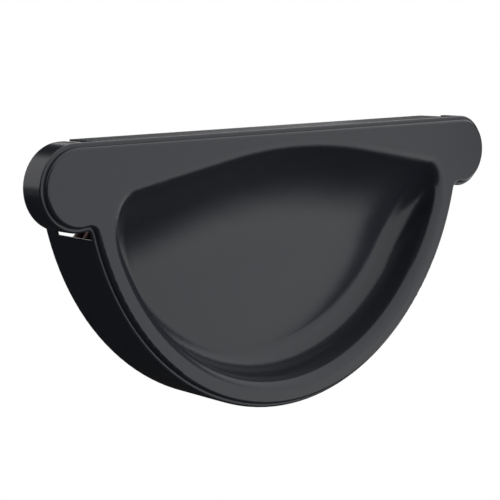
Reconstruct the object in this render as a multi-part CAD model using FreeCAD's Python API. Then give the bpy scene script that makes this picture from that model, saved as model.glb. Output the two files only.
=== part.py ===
"""Half-round gutter end cap: one pressed and folded steel sheet and the rubber seal in its groove.

Sizes are in mm. X runs across the gutter, Y from the cap's front face back along the gutter, Z up.
The origin is the centre of the half round, in the plane of the front face.
"""

import FreeCAD
import Part

import math
import os

from FreeCAD import Vector

# The sheet and its outline, seen from the front
SHEET = 0.6
HALF_ROUND_RADIUS = 80.0
TOP_HEIGHT = 6.0
EAR_RADIUS = 12.0
EAR_OFFSET = 1.9
EAR_CENTRE_X = HALF_ROUND_RADIUS + EAR_OFFSET
EAR_CENTRE_Z = TOP_HEIGHT - EAR_RADIUS
NOTCH_ROUND = 1.5

# The step pressed in along the whole edge of the front face
JOGGLE_INSET = 1.2
JOGGLE_DEPTH = 1.4
FACE_EDGE_ROUND = 1.0
SKIRT_BEND_ROUND = 0.7

# The skirts folded back from the edge, each with its own depth
SKIRT_DEPTH = 22.4
FLANGE_DEPTH = 14.0
EAR_SKIRT_DEPTH = 9.3
EAR_SKIRT_LEAD = 1.6
RELIEF_LENGTH = 5.2
RELIEF_CLEARANCE = 0.2
SLIT_HEIGHT = 2.4
EAR_SKIRT_START_X = EAR_CENTRE_X - EAR_SKIRT_LEAD
FLANGE_HALF_LENGTH = EAR_SKIRT_START_X - RELIEF_LENGTH
SKIRT_TOP_Z = EAR_CENTRE_Z - EAR_RADIUS - SLIT_HEIGHT
RELIEF_FRONT = JOGGLE_DEPTH + SHEET + RELIEF_CLEARANCE
LUG_HEIGHT = 3.2
LUG_LENGTH = 4.7

# The recess: a dish whose floor sweeps up to the arch at the top and turns up in a cove to a steep wall
# round the rest
RIM_WIDTH = 8.7
WALL_RADIUS = HALF_ROUND_RADIUS - RIM_WIDTH
WALL_DRAFT = math.radians(2)
RIM_ROUND = 4.0
DISH_DEPTH = 15.5
COVE_RADIUS = 7.5

# The arch that closes the recess at the top: two straight lines joined by a large arc
ARCH_PEAK_Z = 0.4
ARCH_SLOPE = math.radians(10.15)
ARCH_RADIUS = 169.0
ARCH_SWEEP_RADIUS = 43.0

# The seal: a band on the recess wall with lips that lean out to the skirt
SEAL_BAND_STEP = 2.2
SEAL_BAND_RADIUS = WALL_RADIUS + SEAL_BAND_STEP
SEAL_BAND_THICKNESS = 1.5
SEAL_FRONT = 4.0
SEAL_FOOT_BACK = 7.0
SEAL_BACK = 17.6
LIP_COUNT = 3
LIP_PITCH = 4.2
LIP_BACK_ROOT = 16.6
LIP_LEAN = 4.9
LIP_THICKNESS = 1.1
LIP_CLEARANCE = 0.2
SEAL_END_GAP = 0.3

# How far cutting bodies run past the surfaces they cut
OVERRUN = 4.0

# The share of a sweep's radius past which the sweep runs on straight
SWEEP_LIMIT = 0.93

# The fan of points that the floor's surface passes through; its pole lies above the arch
FAN_POLE_Z = 12.0
FAN_MARGIN = 5.2
FAN_RADIUS = WALL_RADIUS + FAN_MARGIN
FAN_FIRST_REACH = 0.06
FAN_ROW_COUNT = 19
FAN_COLUMN_COUNT = 37
FAN_CROWDING = 0.5
FAN_DEPTH = 3 * FAN_RADIUS


def polar(centre, radius, toward):
    """Return the point at the radius from the centre on the line toward another point."""
    direction = toward - centre
    return centre + direction * (radius / direction.Length)


def notch_centre():
    """Return the centre of the round between an ear and the half round, on the right-hand side."""
    ear = Vector(EAR_CENTRE_X, 0, EAR_CENTRE_Z)
    from_axis = HALF_ROUND_RADIUS + NOTCH_ROUND
    from_ear = EAR_RADIUS + NOTCH_ROUND
    span = ear.Length
    along = (from_axis ** 2 - from_ear ** 2 + span ** 2) / (2 * span)
    across = math.sqrt(from_axis ** 2 - along ** 2)
    unit = ear / span
    return unit * along + Vector(unit.z, 0, -unit.x) * across


def mirrored(point):
    """Return the point on the other side of the cap's middle plane."""
    return Vector(-point.x, point.y, point.z)


def outline_face(inset, y):
    """Return the cap's outline, moved inward by the inset, as a flat face at the depth y."""
    axis = Vector(0, 0, 0)
    ear = Vector(EAR_CENTRE_X, 0, EAR_CENTRE_Z)
    notch = notch_centre()
    ear_top = ear + Vector(0, 0, EAR_RADIUS - inset)
    ear_side = polar(ear, EAR_RADIUS - inset, ear + Vector(1, 0, 0))
    ear_bottom = polar(ear, EAR_RADIUS - inset, notch)
    notch_middle = polar(notch, NOTCH_ROUND + inset, (ear + axis) / 2 + Vector(0, 0, EAR_CENTRE_Z))
    round_end = polar(axis, HALF_ROUND_RADIUS - inset, notch)
    round_bottom = Vector(0, 0, inset - HALF_ROUND_RADIUS)
    right = [(ear_top, ear_side, ear_bottom), (ear_bottom, notch_middle, round_end)]
    edges = [Part.LineSegment(mirrored(ear_top), ear_top).toShape()]
    edges += [Part.Arc(*points).toShape() for points in right]
    edges.append(Part.Arc(round_end, round_bottom, mirrored(round_end)).toShape())
    for points in reversed(right):
        edges.append(Part.Arc(*[mirrored(point) for point in reversed(points)]).toShape())
    face = Part.Face(Part.Wire(edges))
    face.translate(Vector(0, y, 0))
    return face


def edges_at(shape, y, radius_limit=None):
    """Return the shape's edges that lie wholly at the depth y, within a radius if one is given."""
    found = []
    for edge in shape.Edges:
        points = edge.discretize(7)
        level = all(abs(point.y - y) < 1e-4 for point in points)
        inside = radius_limit is None or all(math.hypot(p.x, p.z) < radius_limit for p in points)
        if level and inside:
            found.append(edge)
    return found


def stepped_body(grow):
    """Return the solid behind the cap's outer surface, or behind its inner one for grow = SHEET."""
    back = SKIRT_DEPTH + (OVERRUN if grow else 0.0)
    step = JOGGLE_DEPTH + grow
    skirt = outline_face(grow, step).extrude(Vector(0, back - step, 0))
    face = outline_face(JOGGLE_INSET + grow, grow).extrude(Vector(0, back - grow, 0))
    if grow == 0:
        skirt = skirt.makeFillet(SKIRT_BEND_ROUND, edges_at(skirt, step))
        face = face.makeFillet(FACE_EDGE_ROUND, edges_at(face, 0.0))
    return skirt.fuse(face).removeSplitter()


def beyond(radius, offset):
    """Return how deep a circular sweep lies below its flat floor at an offset from the flat."""
    steepest = SWEEP_LIMIT * radius
    inside = min(max(offset, 0.0), steepest)
    drop = radius - math.sqrt(radius ** 2 - inside ** 2)
    slope = inside / math.sqrt(radius ** 2 - inside ** 2)
    return drop + slope * max(offset - steepest, 0.0)


def below_arch(x, z):
    """Return the distance of a point below the arch line."""
    arc_centre_z = ARCH_PEAK_Z - ARCH_RADIUS
    side = abs(x)
    rise = z - arc_centre_z
    if side < rise * math.tan(ARCH_SLOPE):
        return ARCH_RADIUS - math.hypot(side, rise)
    return ARCH_RADIUS - side * math.sin(ARCH_SLOPE) - rise * math.cos(ARCH_SLOPE)


def recess_depth(x, z):
    """Return the depth of the dish's floor, which runs on above the arch in front of the face."""
    sweep_length = math.sqrt(ARCH_SWEEP_RADIUS ** 2 - (ARCH_SWEEP_RADIUS - DISH_DEPTH) ** 2)
    return DISH_DEPTH - beyond(ARCH_SWEEP_RADIUS, sweep_length - below_arch(x, z))


def offset_recess_depth(x, z, grow):
    """Return the depth of the recess surface after moving it back by grow along its normal."""
    step = 0.01
    slope_x = (recess_depth(x + step, z) - recess_depth(x - step, z)) / (2 * step)
    slope_z = (recess_depth(x, z + step) - recess_depth(x, z - step)) / (2 * step)
    return recess_depth(x, z) + grow * math.sqrt(1 + slope_x ** 2 + slope_z ** 2)


def fan_reaches():
    """Return how far out each row of the fan lies, as shares of the way from its pole to its edge."""
    step = (1 - FAN_FIRST_REACH) / (FAN_ROW_COUNT - 1)
    return [FAN_FIRST_REACH + step * row for row in range(FAN_ROW_COUNT)]


def fan_turns():
    """Return the angle of each column of the fan from straight down, crowded towards the two ends."""
    turns = []
    for column in range(FAN_COLUMN_COUNT):
        share = 2 * column / (FAN_COLUMN_COUNT - 1) - 1
        crowded = math.sin(share * math.pi / 2)
        turns.append(math.pi / 2 * (share + FAN_CROWDING * (crowded - share)))
    return turns


def recess_space(grow):
    """Return the space in front of the recess surface, bounded by the drafted wall."""
    pole = Vector(0, 0, FAN_POLE_Z)
    grid = []
    for reach in fan_reaches():
        line = []
        for turn in fan_turns():
            end = Vector(math.sin(turn), 0, -math.cos(turn)) * FAN_RADIUS
            point = pole + (end - pole) * reach
            line.append(Vector(point.x, offset_recess_depth(point.x, point.z, grow), point.z))
        grid.append(line)
    surface = Part.BSplineSurface()
    surface.interpolate(grid)
    inner = surface.toShape().extrude(Vector(0, -FAN_DEPTH, 0))
    front_radius = WALL_RADIUS + OVERRUN * math.tan(WALL_DRAFT) + grow / math.cos(WALL_DRAFT)
    height = 2 * OVERRUN + DISH_DEPTH + grow
    back_radius = front_radius - height * math.tan(WALL_DRAFT)
    wall = Part.makeCone(front_radius, back_radius, height, Vector(0, -OVERRUN, 0), Vector(0, 1, 0))
    space = wall.common(inner)
    foot = [edge for edge in space.Edges if edge.BoundBox.YLength > OVERRUN]
    return space.makeFillet(COVE_RADIUS + grow, foot)


def sheet_side(grow):
    """Return the solid behind one side of the pressed sheet, with the recess sunk into it."""
    body = stepped_body(grow).cut(recess_space(grow))
    rim = edges_at(body, grow, HALF_ROUND_RADIUS - JOGGLE_INSET - FACE_EDGE_ROUND - SHEET)
    return body.makeFillet(RIM_ROUND - grow, rim)


def block(x_range, y_range, z_range):
    """Return a box from the ranges it covers on the three axes."""
    low, high = zip(x_range, y_range, z_range)
    return Part.makeBox(*[end - start for start, end in zip(low, high)], Vector(*low))


def skirt_cuts():
    """Return what is cut off the right-hand half of the folded edge behind the front face."""
    far = EAR_CENTRE_X + EAR_RADIUS + OVERRUN
    back = SKIRT_DEPTH + OVERRUN
    top = TOP_HEIGHT + OVERRUN
    below_top = TOP_HEIGHT - JOGGLE_INSET - SHEET
    inner_x = HALF_ROUND_RADIUS - OVERRUN
    return [
        block((-OVERRUN, far), (FLANGE_DEPTH, back), (below_top, top)),
        block((FLANGE_HALF_LENGTH, EAR_SKIRT_START_X), (RELIEF_FRONT, back), (below_top, top)),
        block((inner_x, far), (EAR_SKIRT_DEPTH, back), (SKIRT_TOP_Z, top)),
        block((inner_x, EAR_CENTRE_X), (RELIEF_FRONT, back), (SKIRT_TOP_Z, EAR_CENTRE_Z)),
    ]


def lug():
    """Return the lug that stands up from the right-hand end of the half-round skirt."""
    ring = Part.makeCylinder(HALF_ROUND_RADIUS, LUG_LENGTH, Vector(0, 0, 0), Vector(0, 1, 0))
    ring = ring.cut(
        Part.makeCylinder(HALF_ROUND_RADIUS - SHEET, LUG_LENGTH, Vector(0, 0, 0), Vector(0, 1, 0)))
    ring.translate(Vector(0, SKIRT_DEPTH - LUG_LENGTH, 0))
    reach = (0.0, 2 * HALF_ROUND_RADIUS)
    height = (SKIRT_TOP_Z - SHEET, SKIRT_TOP_Z + LUG_HEIGHT)
    return ring.common(block(reach, (0.0, SKIRT_DEPTH), height))


def both_sides(shape):
    """Return the shape and its mirror image in the cap's middle plane."""
    return [shape, shape.mirror(Vector(0, 0, 0), Vector(1, 0, 0))]


def pressed_cap():
    """Return the whole pressed and folded sheet."""
    cuts = [side for cut in skirt_cuts() for side in both_sides(cut)]
    sheet = sheet_side(0.0).cut([sheet_side(SHEET)] + cuts)
    return sheet.fuse(both_sides(lug()))


def wall_back_radius(y):
    """Return the radius of the recess wall's hidden side at the depth y."""
    return WALL_RADIUS + SHEET / math.cos(WALL_DRAFT) - y * math.tan(WALL_DRAFT)


def rubber_seal():
    """Return the seal: its cross-section turned round the half round's axis between the skirt's ends."""
    band_inside = SEAL_BAND_RADIUS - SEAL_BAND_THICKNESS
    lip_end = HALF_ROUND_RADIUS - SHEET - LIP_CLEARANCE
    profile = [
        (SEAL_BAND_RADIUS, SEAL_FRONT),
        (wall_back_radius(SEAL_FRONT), SEAL_FRONT),
        (wall_back_radius(SEAL_FOOT_BACK), SEAL_FOOT_BACK),
        (band_inside, SEAL_FOOT_BACK + LIP_PITCH / 2),
        (band_inside, SEAL_BACK),
        (SEAL_BAND_RADIUS, SEAL_BACK),
    ]
    for index in range(LIP_COUNT):
        root = LIP_BACK_ROOT - index * LIP_PITCH
        tip = root - LIP_LEAN
        profile += [
            (SEAL_BAND_RADIUS, root),
            (lip_end, tip),
            (lip_end, tip - LIP_THICKNESS),
            (SEAL_BAND_RADIUS, root - LIP_THICKNESS),
        ]
    corners = [Vector(0, y, -radius) for radius, y in profile]
    face = Part.Face(Part.makePolygon(corners + corners[:1]))
    end_angle = math.degrees(math.asin(-SKIRT_TOP_Z / HALF_ROUND_RADIUS))
    half_sweep = 90 - end_angle - math.degrees(SEAL_END_GAP / HALF_ROUND_RADIUS)
    face.rotate(Vector(0, 0, 0), Vector(0, 1, 0), half_sweep)
    return face.revolve(Vector(0, 0, 0), Vector(0, 1, 0), -2 * half_sweep)


def main():
    os.makedirs("parts", exist_ok=True)
    nodes = {"pressed_cap": pressed_cap(), "rubber_seal": rubber_seal()}
    for name, shape in nodes.items():
        solid = shape.Solids[0]
        print(name, "valid" if solid.isValid() else "not valid", "solids:", len(shape.Solids),
              "volume:", round(solid.Volume, 1), "faces:", len(solid.Faces), solid.BoundBox)
        solid.exportStep(f"parts/{name}.step")


main()
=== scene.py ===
"""Finishes and photo stage of a half-round gutter end cap: a coated steel pressing with a rubber seal.

The sheet and the seal keep their own solids, so the scene gives them their finishes and sets the
stage. Lengths are in metres, in the cap's frame: X across the gutter, Y back along it, Z up.
"""

import math

import bpy
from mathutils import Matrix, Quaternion, Vector


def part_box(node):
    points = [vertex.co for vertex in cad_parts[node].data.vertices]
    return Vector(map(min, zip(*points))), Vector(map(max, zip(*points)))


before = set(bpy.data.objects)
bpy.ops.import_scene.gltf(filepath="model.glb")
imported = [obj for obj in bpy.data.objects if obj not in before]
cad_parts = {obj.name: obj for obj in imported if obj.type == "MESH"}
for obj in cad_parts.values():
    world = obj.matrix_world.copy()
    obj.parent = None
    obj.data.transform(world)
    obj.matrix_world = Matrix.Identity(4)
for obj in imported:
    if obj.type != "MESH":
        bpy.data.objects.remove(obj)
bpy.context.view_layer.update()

bl_info = {
    "name": "Gutter end cap",
    "version": (1, 0, 0),
    "blender": (4, 5, 0),
    "location": "3D View > Sidebar > Gutter cap",
    "description": "Finishes a pressed gutter end cap and its seal, and sets the stage for a picture",
    "category": "Object",
}

MM = 0.001
SHEET_LOW, SHEET_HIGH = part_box("pressed_cap")

# Where the sheet's cut edges lie besides the half-round skirt's back: the backs of the flange and of the
# ears' skirts, and the half round's two ends
FLANGE_BACK = 14.0 * MM
EAR_SKIRT_BACK = 9.3 * MM
SKIRT_TOP = -20.4 * MM

# How squarely a cut edge faces the back or the top
EDGE_FACING = 0.99

# The middle of a noise texture's range
NOISE_MIDDLE = 0.5

# Colours of the stage
WHITE = (1.0, 1.0, 1.0, 1.0)
FLOOR_GREY = (0.8, 0.8, 0.8, 1.0)
CARD_GREY = (0.01, 0.01, 0.01, 1.0)

# The stage's reach, as multiples of the room: the floor's half width, and where the cards stand
FLOOR_REACH = 6.0
LEFT_CARD_X = -1.0
RIGHT_CARD_X = 1.8
BACK_CARD_Y = 1.6
UNDER_CARD_FRONT = -1.0

# The upright cards' top edges, as places along the card and heights in multiples of the room
LEFT_CARD_TOP = [(BACK_CARD_Y, -0.1), (0.3, 0.15), (0.0, 1.6), (-0.6, 1.6)]
BACK_CARD_TOP = [(RIGHT_CARD_X, 0.38), (0.9, 0.5), (0.55, 1.6), (0.0, 1.6), (-0.5, 0.36)]
RIGHT_CARD_TOP = [(BACK_CARD_Y, 0.5), (-1.2, 0.3)]

# The foot of the right card in multiples of the room, and that of the others as a share of the floor's drop
RIGHT_CARD_FOOT = -0.35
CARD_FOOT_DROP = 0.8

# The camera's sensor in mm, and the nearest point that it shows
SENSOR_WIDTH = 36.0
NEAREST_SHOWN = 10 * MM


class Value:
    """A shader socket that takes part in Python sums: each operation adds one Math node."""

    def __init__(self, shader, socket):
        self.shader = shader
        self.socket = socket

    def math(self, operation, *others):
        return self.shader.math(operation, self, *others)

    def __add__(self, other):
        return self.math("ADD", other)

    def __radd__(self, other):
        return self.shader.math("ADD", other, self)

    def __sub__(self, other):
        return self.math("SUBTRACT", other)

    def __rsub__(self, other):
        return self.shader.math("SUBTRACT", other, self)

    def __mul__(self, other):
        return self.math("MULTIPLY", other)

    def __rmul__(self, other):
        return self.shader.math("MULTIPLY", other, self)

    def __gt__(self, limit):
        return self.math("GREATER_THAN", limit)

    def __or__(self, other):
        return self.math("MAXIMUM", other)

    def near(self, level, margin):
        """Return 1 where the value is within the margin of a level, and 0 elsewhere."""
        return self.math("COMPARE", level, margin)


class Shader:
    """Adds the nodes of one material or world. Links are given as Value objects."""

    def __init__(self, owner):
        owner.use_nodes = True
        self.tree = owner.node_tree
        self.tree.nodes.clear()

    def node(self, kind, settings=None, sockets=None):
        """Add a node: its settings first, then the values or links of its sockets."""
        node = self.tree.nodes.new(kind)
        for name, setting in (settings or {}).items():
            setattr(node, name, setting)
        for key, value in (sockets or {}).items():
            if isinstance(value, Value):
                self.tree.links.new(value.socket, node.inputs[key])
            else:
                node.inputs[key].default_value = value
        return node

    def value(self, kind, output, settings=None, sockets=None):
        """Add a node and return one of its outputs."""
        return Value(self, self.node(kind, settings, sockets).outputs[output])

    def math(self, operation, *terms):
        """Add a Math node on two or three terms."""
        return self.value("ShaderNodeMath", 0, {"operation": operation}, dict(enumerate(terms)))

    def mix_colour(self, factor, first, second):
        """Mix two colours by a factor. The node's sockets share their names, so they go by number."""
        return self.value("ShaderNodeMix", 2, {"data_type": "RGBA"}, {0: factor, 6: first, 7: second})

    def mix_surface(self, factor, first, second):
        """Mix two surfaces by a factor."""
        return self.value("ShaderNodeMixShader", 0, None, {0: factor, 1: first, 2: second})

    def axes(self, vector):
        """Return the X, Y and Z of a vector."""
        parts = self.node("ShaderNodeSeparateXYZ", None, {0: vector})
        return [Value(self, parts.outputs[index]) for index in range(3)]

    def noise(self, vector, grain):
        """Return noise whose grains are about this many metres wide."""
        return self.value("ShaderNodeTexNoise", "Fac", None, {"Vector": vector, "Scale": 1 / grain})

    def bump(self, height, distance):
        """Return the normal of a skin whose height runs from 0 to the distance."""
        return self.value("ShaderNodeBump", "Normal", None, {"Height": height, "Distance": distance})

    def matt(self, colour):
        """Return a matt surface."""
        return self.value("ShaderNodeBsdfDiffuse", "BSDF", None, {"Color": colour})

    def white(self):
        """Return a surface that is white under any light."""
        return self.value("ShaderNodeEmission", "Emission", None, {"Color": WHITE, "Strength": 1.0})

    def finish(self, surface):
        """Finish a material with its surface."""
        self.node("ShaderNodeOutputMaterial", None, {"Surface": surface})


def colour_property(name, description, default):
    """Return a colour property for a finish."""
    return bpy.props.FloatVectorProperty(
        name=name, description=description, subtype="COLOR", size=3, min=0.0, max=1.0, default=default)


def length_property(name, description, default):
    """Return a length property in metres."""
    return bpy.props.FloatProperty(
        name=name, description=description, subtype="DISTANCE", unit="LENGTH", default=default)


def place_property(name, description, default):
    """Return a property for a point, or for the way from one point to another, in metres."""
    return bpy.props.FloatVectorProperty(
        name=name, description=description, subtype="XYZ", unit="LENGTH", default=default)


def angle_property(name, description, default):
    """Return an angle property whose default is given in degrees."""
    return bpy.props.FloatProperty(
        name=name, description=description, subtype="ANGLE", unit="ROTATION", default=math.radians(default))


def power_property(name, description, default):
    """Return a property for a lamp's power in watts."""
    return bpy.props.FloatProperty(name=name, description=description, unit="POWER", default=default)


def share_property(name, description, default):
    """Return a property for a share or strength."""
    return bpy.props.FloatProperty(name=name, description=description, min=0.0, default=default)


class CoatSettings(bpy.types.PropertyGroup):
    """The satin coat on the pressed sheet, and the sheet's cut edges."""

    colour: colour_property("Coat", "Colour of the coat", (0.0185, 0.0205, 0.027))
    roughness: share_property("Roughness", "Roughness of the satin coat", 0.23)
    gloss_index: share_property("Gloss index", "Refractive index of the coat", 1.54)
    cloud_grain: length_property("Cloud grain", "Width of the faint clouds in the gloss", 14 * MM)
    cloud_share: share_property("Cloud share", "How much the clouds change the roughness", 0.03)
    peel_grain: length_property("Peel grain", "Width of the grains of the coat's skin", 0.7 * MM)
    peel_height: length_property("Peel height", "Height of the grains of the coat's skin", 0.0008 * MM)
    edge_colour: colour_property("Cut edge", "Colour of the bare steel at the cut edges", (0.42, 0.42, 0.43))
    edge_margin: length_property("Edge margin", "How far from its plane a cut edge still counts", 0.05 * MM)


class RubberSettings(bpy.types.PropertyGroup):
    """The rubber of the seal."""

    colour: colour_property("Rubber", "Colour of the rubber", (0.115, 0.064, 0.06))
    roughness: share_property("Roughness", "Roughness of the moulded rubber", 0.75)
    gloss: share_property("Gloss", "Strength of the rubber's mirror light", 0.2)
    skin_grain: length_property("Skin grain", "Width of the grains of the rubber's skin", 0.35 * MM)
    skin_height: length_property("Skin height", "Height of the grains of the rubber's skin", 0.006 * MM)
    skin_share: share_property("Skin share", "How much the skin changes the roughness", 0.1)


class StageSettings(bpy.types.PropertyGroup):
    """The camera, the floor, the cards and the light."""

    azimuth: angle_property("Azimuth", "Turn of the camera to the cap's left", 43.743)
    elevation: angle_property("Elevation", "Height of the camera as an angle", 8.869)
    roll: angle_property("Roll", "Turn of the camera about its line of sight", -0.363)
    distance: length_property("Distance", "From the camera to the point it looks at", 400.78 * MM)
    target: place_property(
        "Target", "Point that the camera looks at", (-20.251 * MM, 0.6 * MM, -29.196 * MM))
    lens: bpy.props.FloatProperty(
        name="Lens", description="Focal length in mm", subtype="DISTANCE_CAMERA", default=97.32)
    floor_drop: length_property("Floor drop", "From the cap's lowest point down to the floor", 300 * MM)
    room: length_property("Room", "From the cap to the dark card on its left", 900 * MM)
    fade_turn: angle_property("Fade turn", "Direction in which the card under the cap fades to white", 53.0)
    fade_start: length_property("Fade start", "Where that card begins to fade", 290 * MM)
    fade_end: length_property("Fade end", "Where that card is white", 600 * MM)
    fill: share_property("Fill", "Strength of the room's light on matt surfaces", 0.4)
    lamp_size: length_property("Lamp size", "Width of the two soft lamps", 700 * MM)
    key_place: place_property(
        "Key place", "From the target to the lamp at the front right", (470 * MM, -1000 * MM, 440 * MM))
    key_power: power_property("Key power", "Power of the lamp at the front right", 6.5)
    rear_place: place_property(
        "Rear place", "From the target to the lamp behind the cap", (600 * MM, 1000 * MM, 100 * MM))
    rear_power: power_property("Rear power", "Power of the lamp behind the cap", 14.0)


def finish_node(name, material):
    """Give a node of the frame its material."""
    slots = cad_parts[name].material_slots
    if not slots:
        raise RuntimeError(f"{name} has no material slot")
    for slot in slots:
        slot.material = material


class GUTTERCAP_OT_coat_sheet(bpy.types.Operator):
    """Give the pressed sheet its satin coat and its bare cut edges"""

    bl_idname = "guttercap.coat_sheet"
    bl_label = "Coat the sheet"

    def execute(self, context):
        coat = context.scene.guttercap_coat
        material = bpy.data.materials.new("coated_steel")
        shader = Shader(material)
        place = shader.value("ShaderNodeTexCoord", "Object")
        clouds = shader.noise(place, coat.cloud_grain)
        peel = shader.noise(place, coat.peel_grain)
        bare = self.cut_edges(shader, place, coat.edge_margin)
        shader.finish(shader.value("ShaderNodeBsdfPrincipled", "BSDF", None, {
            "Base Color": shader.mix_colour(bare, (*coat.colour, 1.0), (*coat.edge_colour, 1.0)),
            "Metallic": bare,
            "Roughness": coat.roughness + coat.cloud_share * (clouds - NOISE_MIDDLE),
            "IOR": coat.gloss_index,
            "Normal": shader.bump(peel, coat.peel_height),
        }))
        finish_node("pressed_cap", material)
        return {"FINISHED"}

    def cut_edges(self, shader, place, margin):
        """Return 1 on the bare steel of the sheet's cut edges, which face the back or the top."""
        depth, height = shader.axes(place)[1:]
        facing_back, facing_up = shader.axes(shader.value("ShaderNodeNewGeometry", "True Normal"))[1:]
        backs = depth.near(SHEET_HIGH.y, margin)
        for level in (FLANGE_BACK, EAR_SKIRT_BACK):
            backs = backs | depth.near(level, margin)
        tops = height.near(SKIRT_TOP, margin)
        return backs * (facing_back > EDGE_FACING) | tops * (facing_up > EDGE_FACING)


class GUTTERCAP_OT_mould_seal(bpy.types.Operator):
    """Give the seal its rubber"""

    bl_idname = "guttercap.mould_seal"
    bl_label = "Mould the seal"

    def execute(self, context):
        rubber = context.scene.guttercap_rubber
        material = bpy.data.materials.new("seal_rubber")
        shader = Shader(material)
        skin = shader.noise(shader.value("ShaderNodeTexCoord", "Object"), rubber.skin_grain)
        shader.finish(shader.value("ShaderNodeBsdfPrincipled", "BSDF", None, {
            "Base Color": (*rubber.colour, 1.0),
            "Roughness": rubber.roughness + rubber.skin_share * (skin - NOISE_MIDDLE),
            "Specular IOR Level": rubber.gloss,
            "Normal": shader.bump(skin, rubber.skin_height),
        }))
        finish_node("rubber_seal", material)
        return {"FINISHED"}


def plane(name, corners, material):
    """Return a flat piece of the stage from its corners."""
    mesh = bpy.data.meshes.new(name)
    mesh.from_pydata(corners, [], [tuple(range(len(corners)))])
    mesh.materials.append(material)
    piece = bpy.data.objects.new(name, mesh)
    bpy.context.scene.collection.objects.link(piece)
    return piece


def seen_directly(shader):
    """Return 1 for rays from the camera, mirror rays and rays through glass, and 0 for the rest."""
    path = shader.node("ShaderNodeLightPath")
    rays = [Value(shader, path.outputs[f"Is {kind} Ray"]) for kind in ("Camera", "Glossy", "Transmission")]
    return rays[0] | rays[1] | rays[2]


def upright(foot, top, room):
    """Return a card's corners, as places along it and heights, from its foot's height and its top edge."""
    edge = [(along * room, height * room) for along, height in top]
    return [(edge[-1][0], foot), (edge[0][0], foot)] + edge


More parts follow.
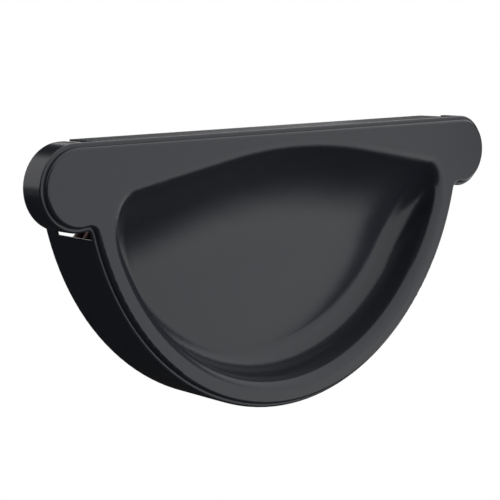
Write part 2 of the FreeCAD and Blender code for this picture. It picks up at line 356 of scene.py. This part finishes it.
class GUTTERCAP_OT_set_stage(bpy.types.Operator):
    """Set the floor, the dark cards, the light and the camera"""

    bl_idname = "guttercap.set_stage"
    bl_label = "Set the stage"

    def execute(self, context):
        stage = context.scene.guttercap_stage
        context.scene.view_settings.view_transform = "Standard"
        self.light_room(context, stage)
        self.lay_floor(stage)
        self.stand_cards(stage)
        self.place_camera(context, stage)
        return {"FINISHED"}

    def light_room(self, context, stage):
        """Make the room white to look at and dimmer as a light, and hang its two lamps."""
        world = bpy.data.worlds.new("white_room")
        context.scene.world = world
        shader = Shader(world)
        seen = seen_directly(shader)
        room = shader.value("ShaderNodeBackground", "Background", None, {
            "Color": WHITE, "Strength": seen + stage.fill * (1 - seen)})
        shader.node("ShaderNodeOutputWorld", None, {"Surface": room})
        self.hang_lamp("key_lamp", stage, stage.key_place, stage.key_power)
        self.hang_lamp("rear_lamp", stage, stage.rear_place, stage.rear_power)

    def hang_lamp(self, name, stage, offset, power):
        """Add a square lamp that points at the target and leaves no mirror image."""
        light = bpy.data.lights.new(name, "AREA")
        light.size = stage.lamp_size
        light.energy = power
        lamp = bpy.data.objects.new(name, light)
        lamp.location = Vector(stage.target) + Vector(offset)
        lamp.rotation_mode = "QUATERNION"
        lamp.rotation_quaternion = (-Vector(offset)).to_track_quat("-Z", "Y")
        lamp.visible_glossy = False
        bpy.context.scene.collection.objects.link(lamp)

    def lay_floor(self, stage):
        """Lay a pale floor that looks white."""
        material = bpy.data.materials.new("white_floor")
        shader = Shader(material)
        shader.finish(shader.mix_surface(seen_directly(shader), shader.matt(FLOOR_GREY), shader.white()))
        level = SHEET_LOW.z - stage.floor_drop
        half = FLOOR_REACH * stage.room
        plane("floor", [
            (-half, -half, level), (half, -half, level), (half, half, level), (-half, half, level)], material)

    def stand_cards(self, stage):
        """Stand the dark cards round the cap, and lay the one that fades to white under it."""
        room = stage.room
        foot = SHEET_LOW.z - CARD_FOOT_DROP * stage.floor_drop
        left = LEFT_CARD_X * room
        right = RIGHT_CARD_X * room
        back = BACK_CARD_Y * room
        front = UNDER_CARD_FRONT * room
        left_outline = upright(foot, LEFT_CARD_TOP, room)
        back_outline = upright(foot, BACK_CARD_TOP, room)
        right_outline = upright(RIGHT_CARD_FOOT * room, RIGHT_CARD_TOP, room)
        dark = self.dark_material()
        self.add_card("left_card", [(left, y, z) for y, z in left_outline], dark)
        self.add_card("back_card", [(x, back, z) for x, z in back_outline], dark)
        self.add_card("right_card", [(right, y, z) for y, z in right_outline], dark)
        under = [(left, front, foot), (right, front, foot), (right, back, foot), (left, back, foot)]
        self.add_card("under_card", under, self.fading_material(stage))

    def add_card(self, name, corners, material):
        """Add a card for mirror images, which the camera and the light off matt surfaces pass through."""
        card = plane(name, corners, material)
        card.visible_camera = False
        card.visible_diffuse = False

    def dark_material(self):
        """Return the dark material of the upright cards."""
        material = bpy.data.materials.new("dark_card")
        shader = Shader(material)
        shader.finish(shader.matt(CARD_GREY))
        return material

    def fading_material(self, stage):
        """Return the material of the card under the cap: dark, and white towards the front right."""
        material = bpy.data.materials.new("fading_card")
        shader = Shader(material)
        x, y = shader.axes(shader.value("ShaderNodeNewGeometry", "Position"))[:2]
        reach = math.sin(stage.fade_turn) * x - math.cos(stage.fade_turn) * y
        share = shader.value("ShaderNodeMapRange", 0, {"interpolation_type": "SMOOTHSTEP"}, {
            0: reach, 1: stage.fade_start, 2: stage.fade_end})
        shader.finish(shader.mix_surface(share, shader.matt(CARD_GREY), shader.white()))
        return material

    def place_camera(self, context, stage):
        """Set up the camera at the photograph's viewing angle."""
        level = math.cos(stage.elevation)
        away = Vector((
            -math.sin(stage.azimuth) * level, -math.cos(stage.azimuth) * level, math.sin(stage.elevation)))
        optics = bpy.data.cameras.new("photo_camera")
        optics.sensor_width = SENSOR_WIDTH
        optics.lens = stage.lens
        optics.clip_start = NEAREST_SHOWN
        camera = bpy.data.objects.new("photo_camera", optics)
        camera.location = Vector(stage.target) + away * stage.distance
        camera.rotation_mode = "QUATERNION"
        camera.rotation_quaternion = (-away).to_track_quat("-Z", "Y") @ Quaternion((0, 0, 1), stage.roll)
        context.scene.collection.objects.link(camera)
        context.scene.camera = camera


class GUTTERCAP_PT_sidebar(bpy.types.Panel):
    """Lists the cap's finishes and its stage in the sidebar"""

    bl_idname = "GUTTERCAP_PT_sidebar"
    bl_label = "Gutter end cap"
    bl_space_type = "VIEW_3D"
    bl_region_type = "UI"
    bl_category = "Gutter cap"

    def draw(self, context):
        groups = [
            (context.scene.guttercap_coat, GUTTERCAP_OT_coat_sheet),
            (context.scene.guttercap_rubber, GUTTERCAP_OT_mould_seal),
            (context.scene.guttercap_stage, GUTTERCAP_OT_set_stage),
        ]
        for settings, operator in groups:
            box = self.layout.box()
            for name in settings.__annotations__:
                box.prop(settings, name)
            box.operator(operator.bl_idname)


CLASSES = [
    CoatSettings,
    RubberSettings,
    StageSettings,
    GUTTERCAP_OT_coat_sheet,
    GUTTERCAP_OT_mould_seal,
    GUTTERCAP_OT_set_stage,
    GUTTERCAP_PT_sidebar,
]
SETTINGS = {
    "guttercap_coat": CoatSettings,
    "guttercap_rubber": RubberSettings,
    "guttercap_stage": StageSettings,
}


def register():
    for item in CLASSES:
        bpy.utils.register_class(item)
    for name, group in SETTINGS.items():
        setattr(bpy.types.Scene, name, bpy.props.PointerProperty(type=group))


def unregister():
    for name in SETTINGS:
        delattr(bpy.types.Scene, name)
    for item in reversed(CLASSES):
        bpy.utils.unregister_class(item)


def main():
    register()
    bpy.ops.guttercap.coat_sheet()
    bpy.ops.guttercap.mould_seal()
    bpy.ops.guttercap.set_stage()


if __name__ == "__main__":
    main()
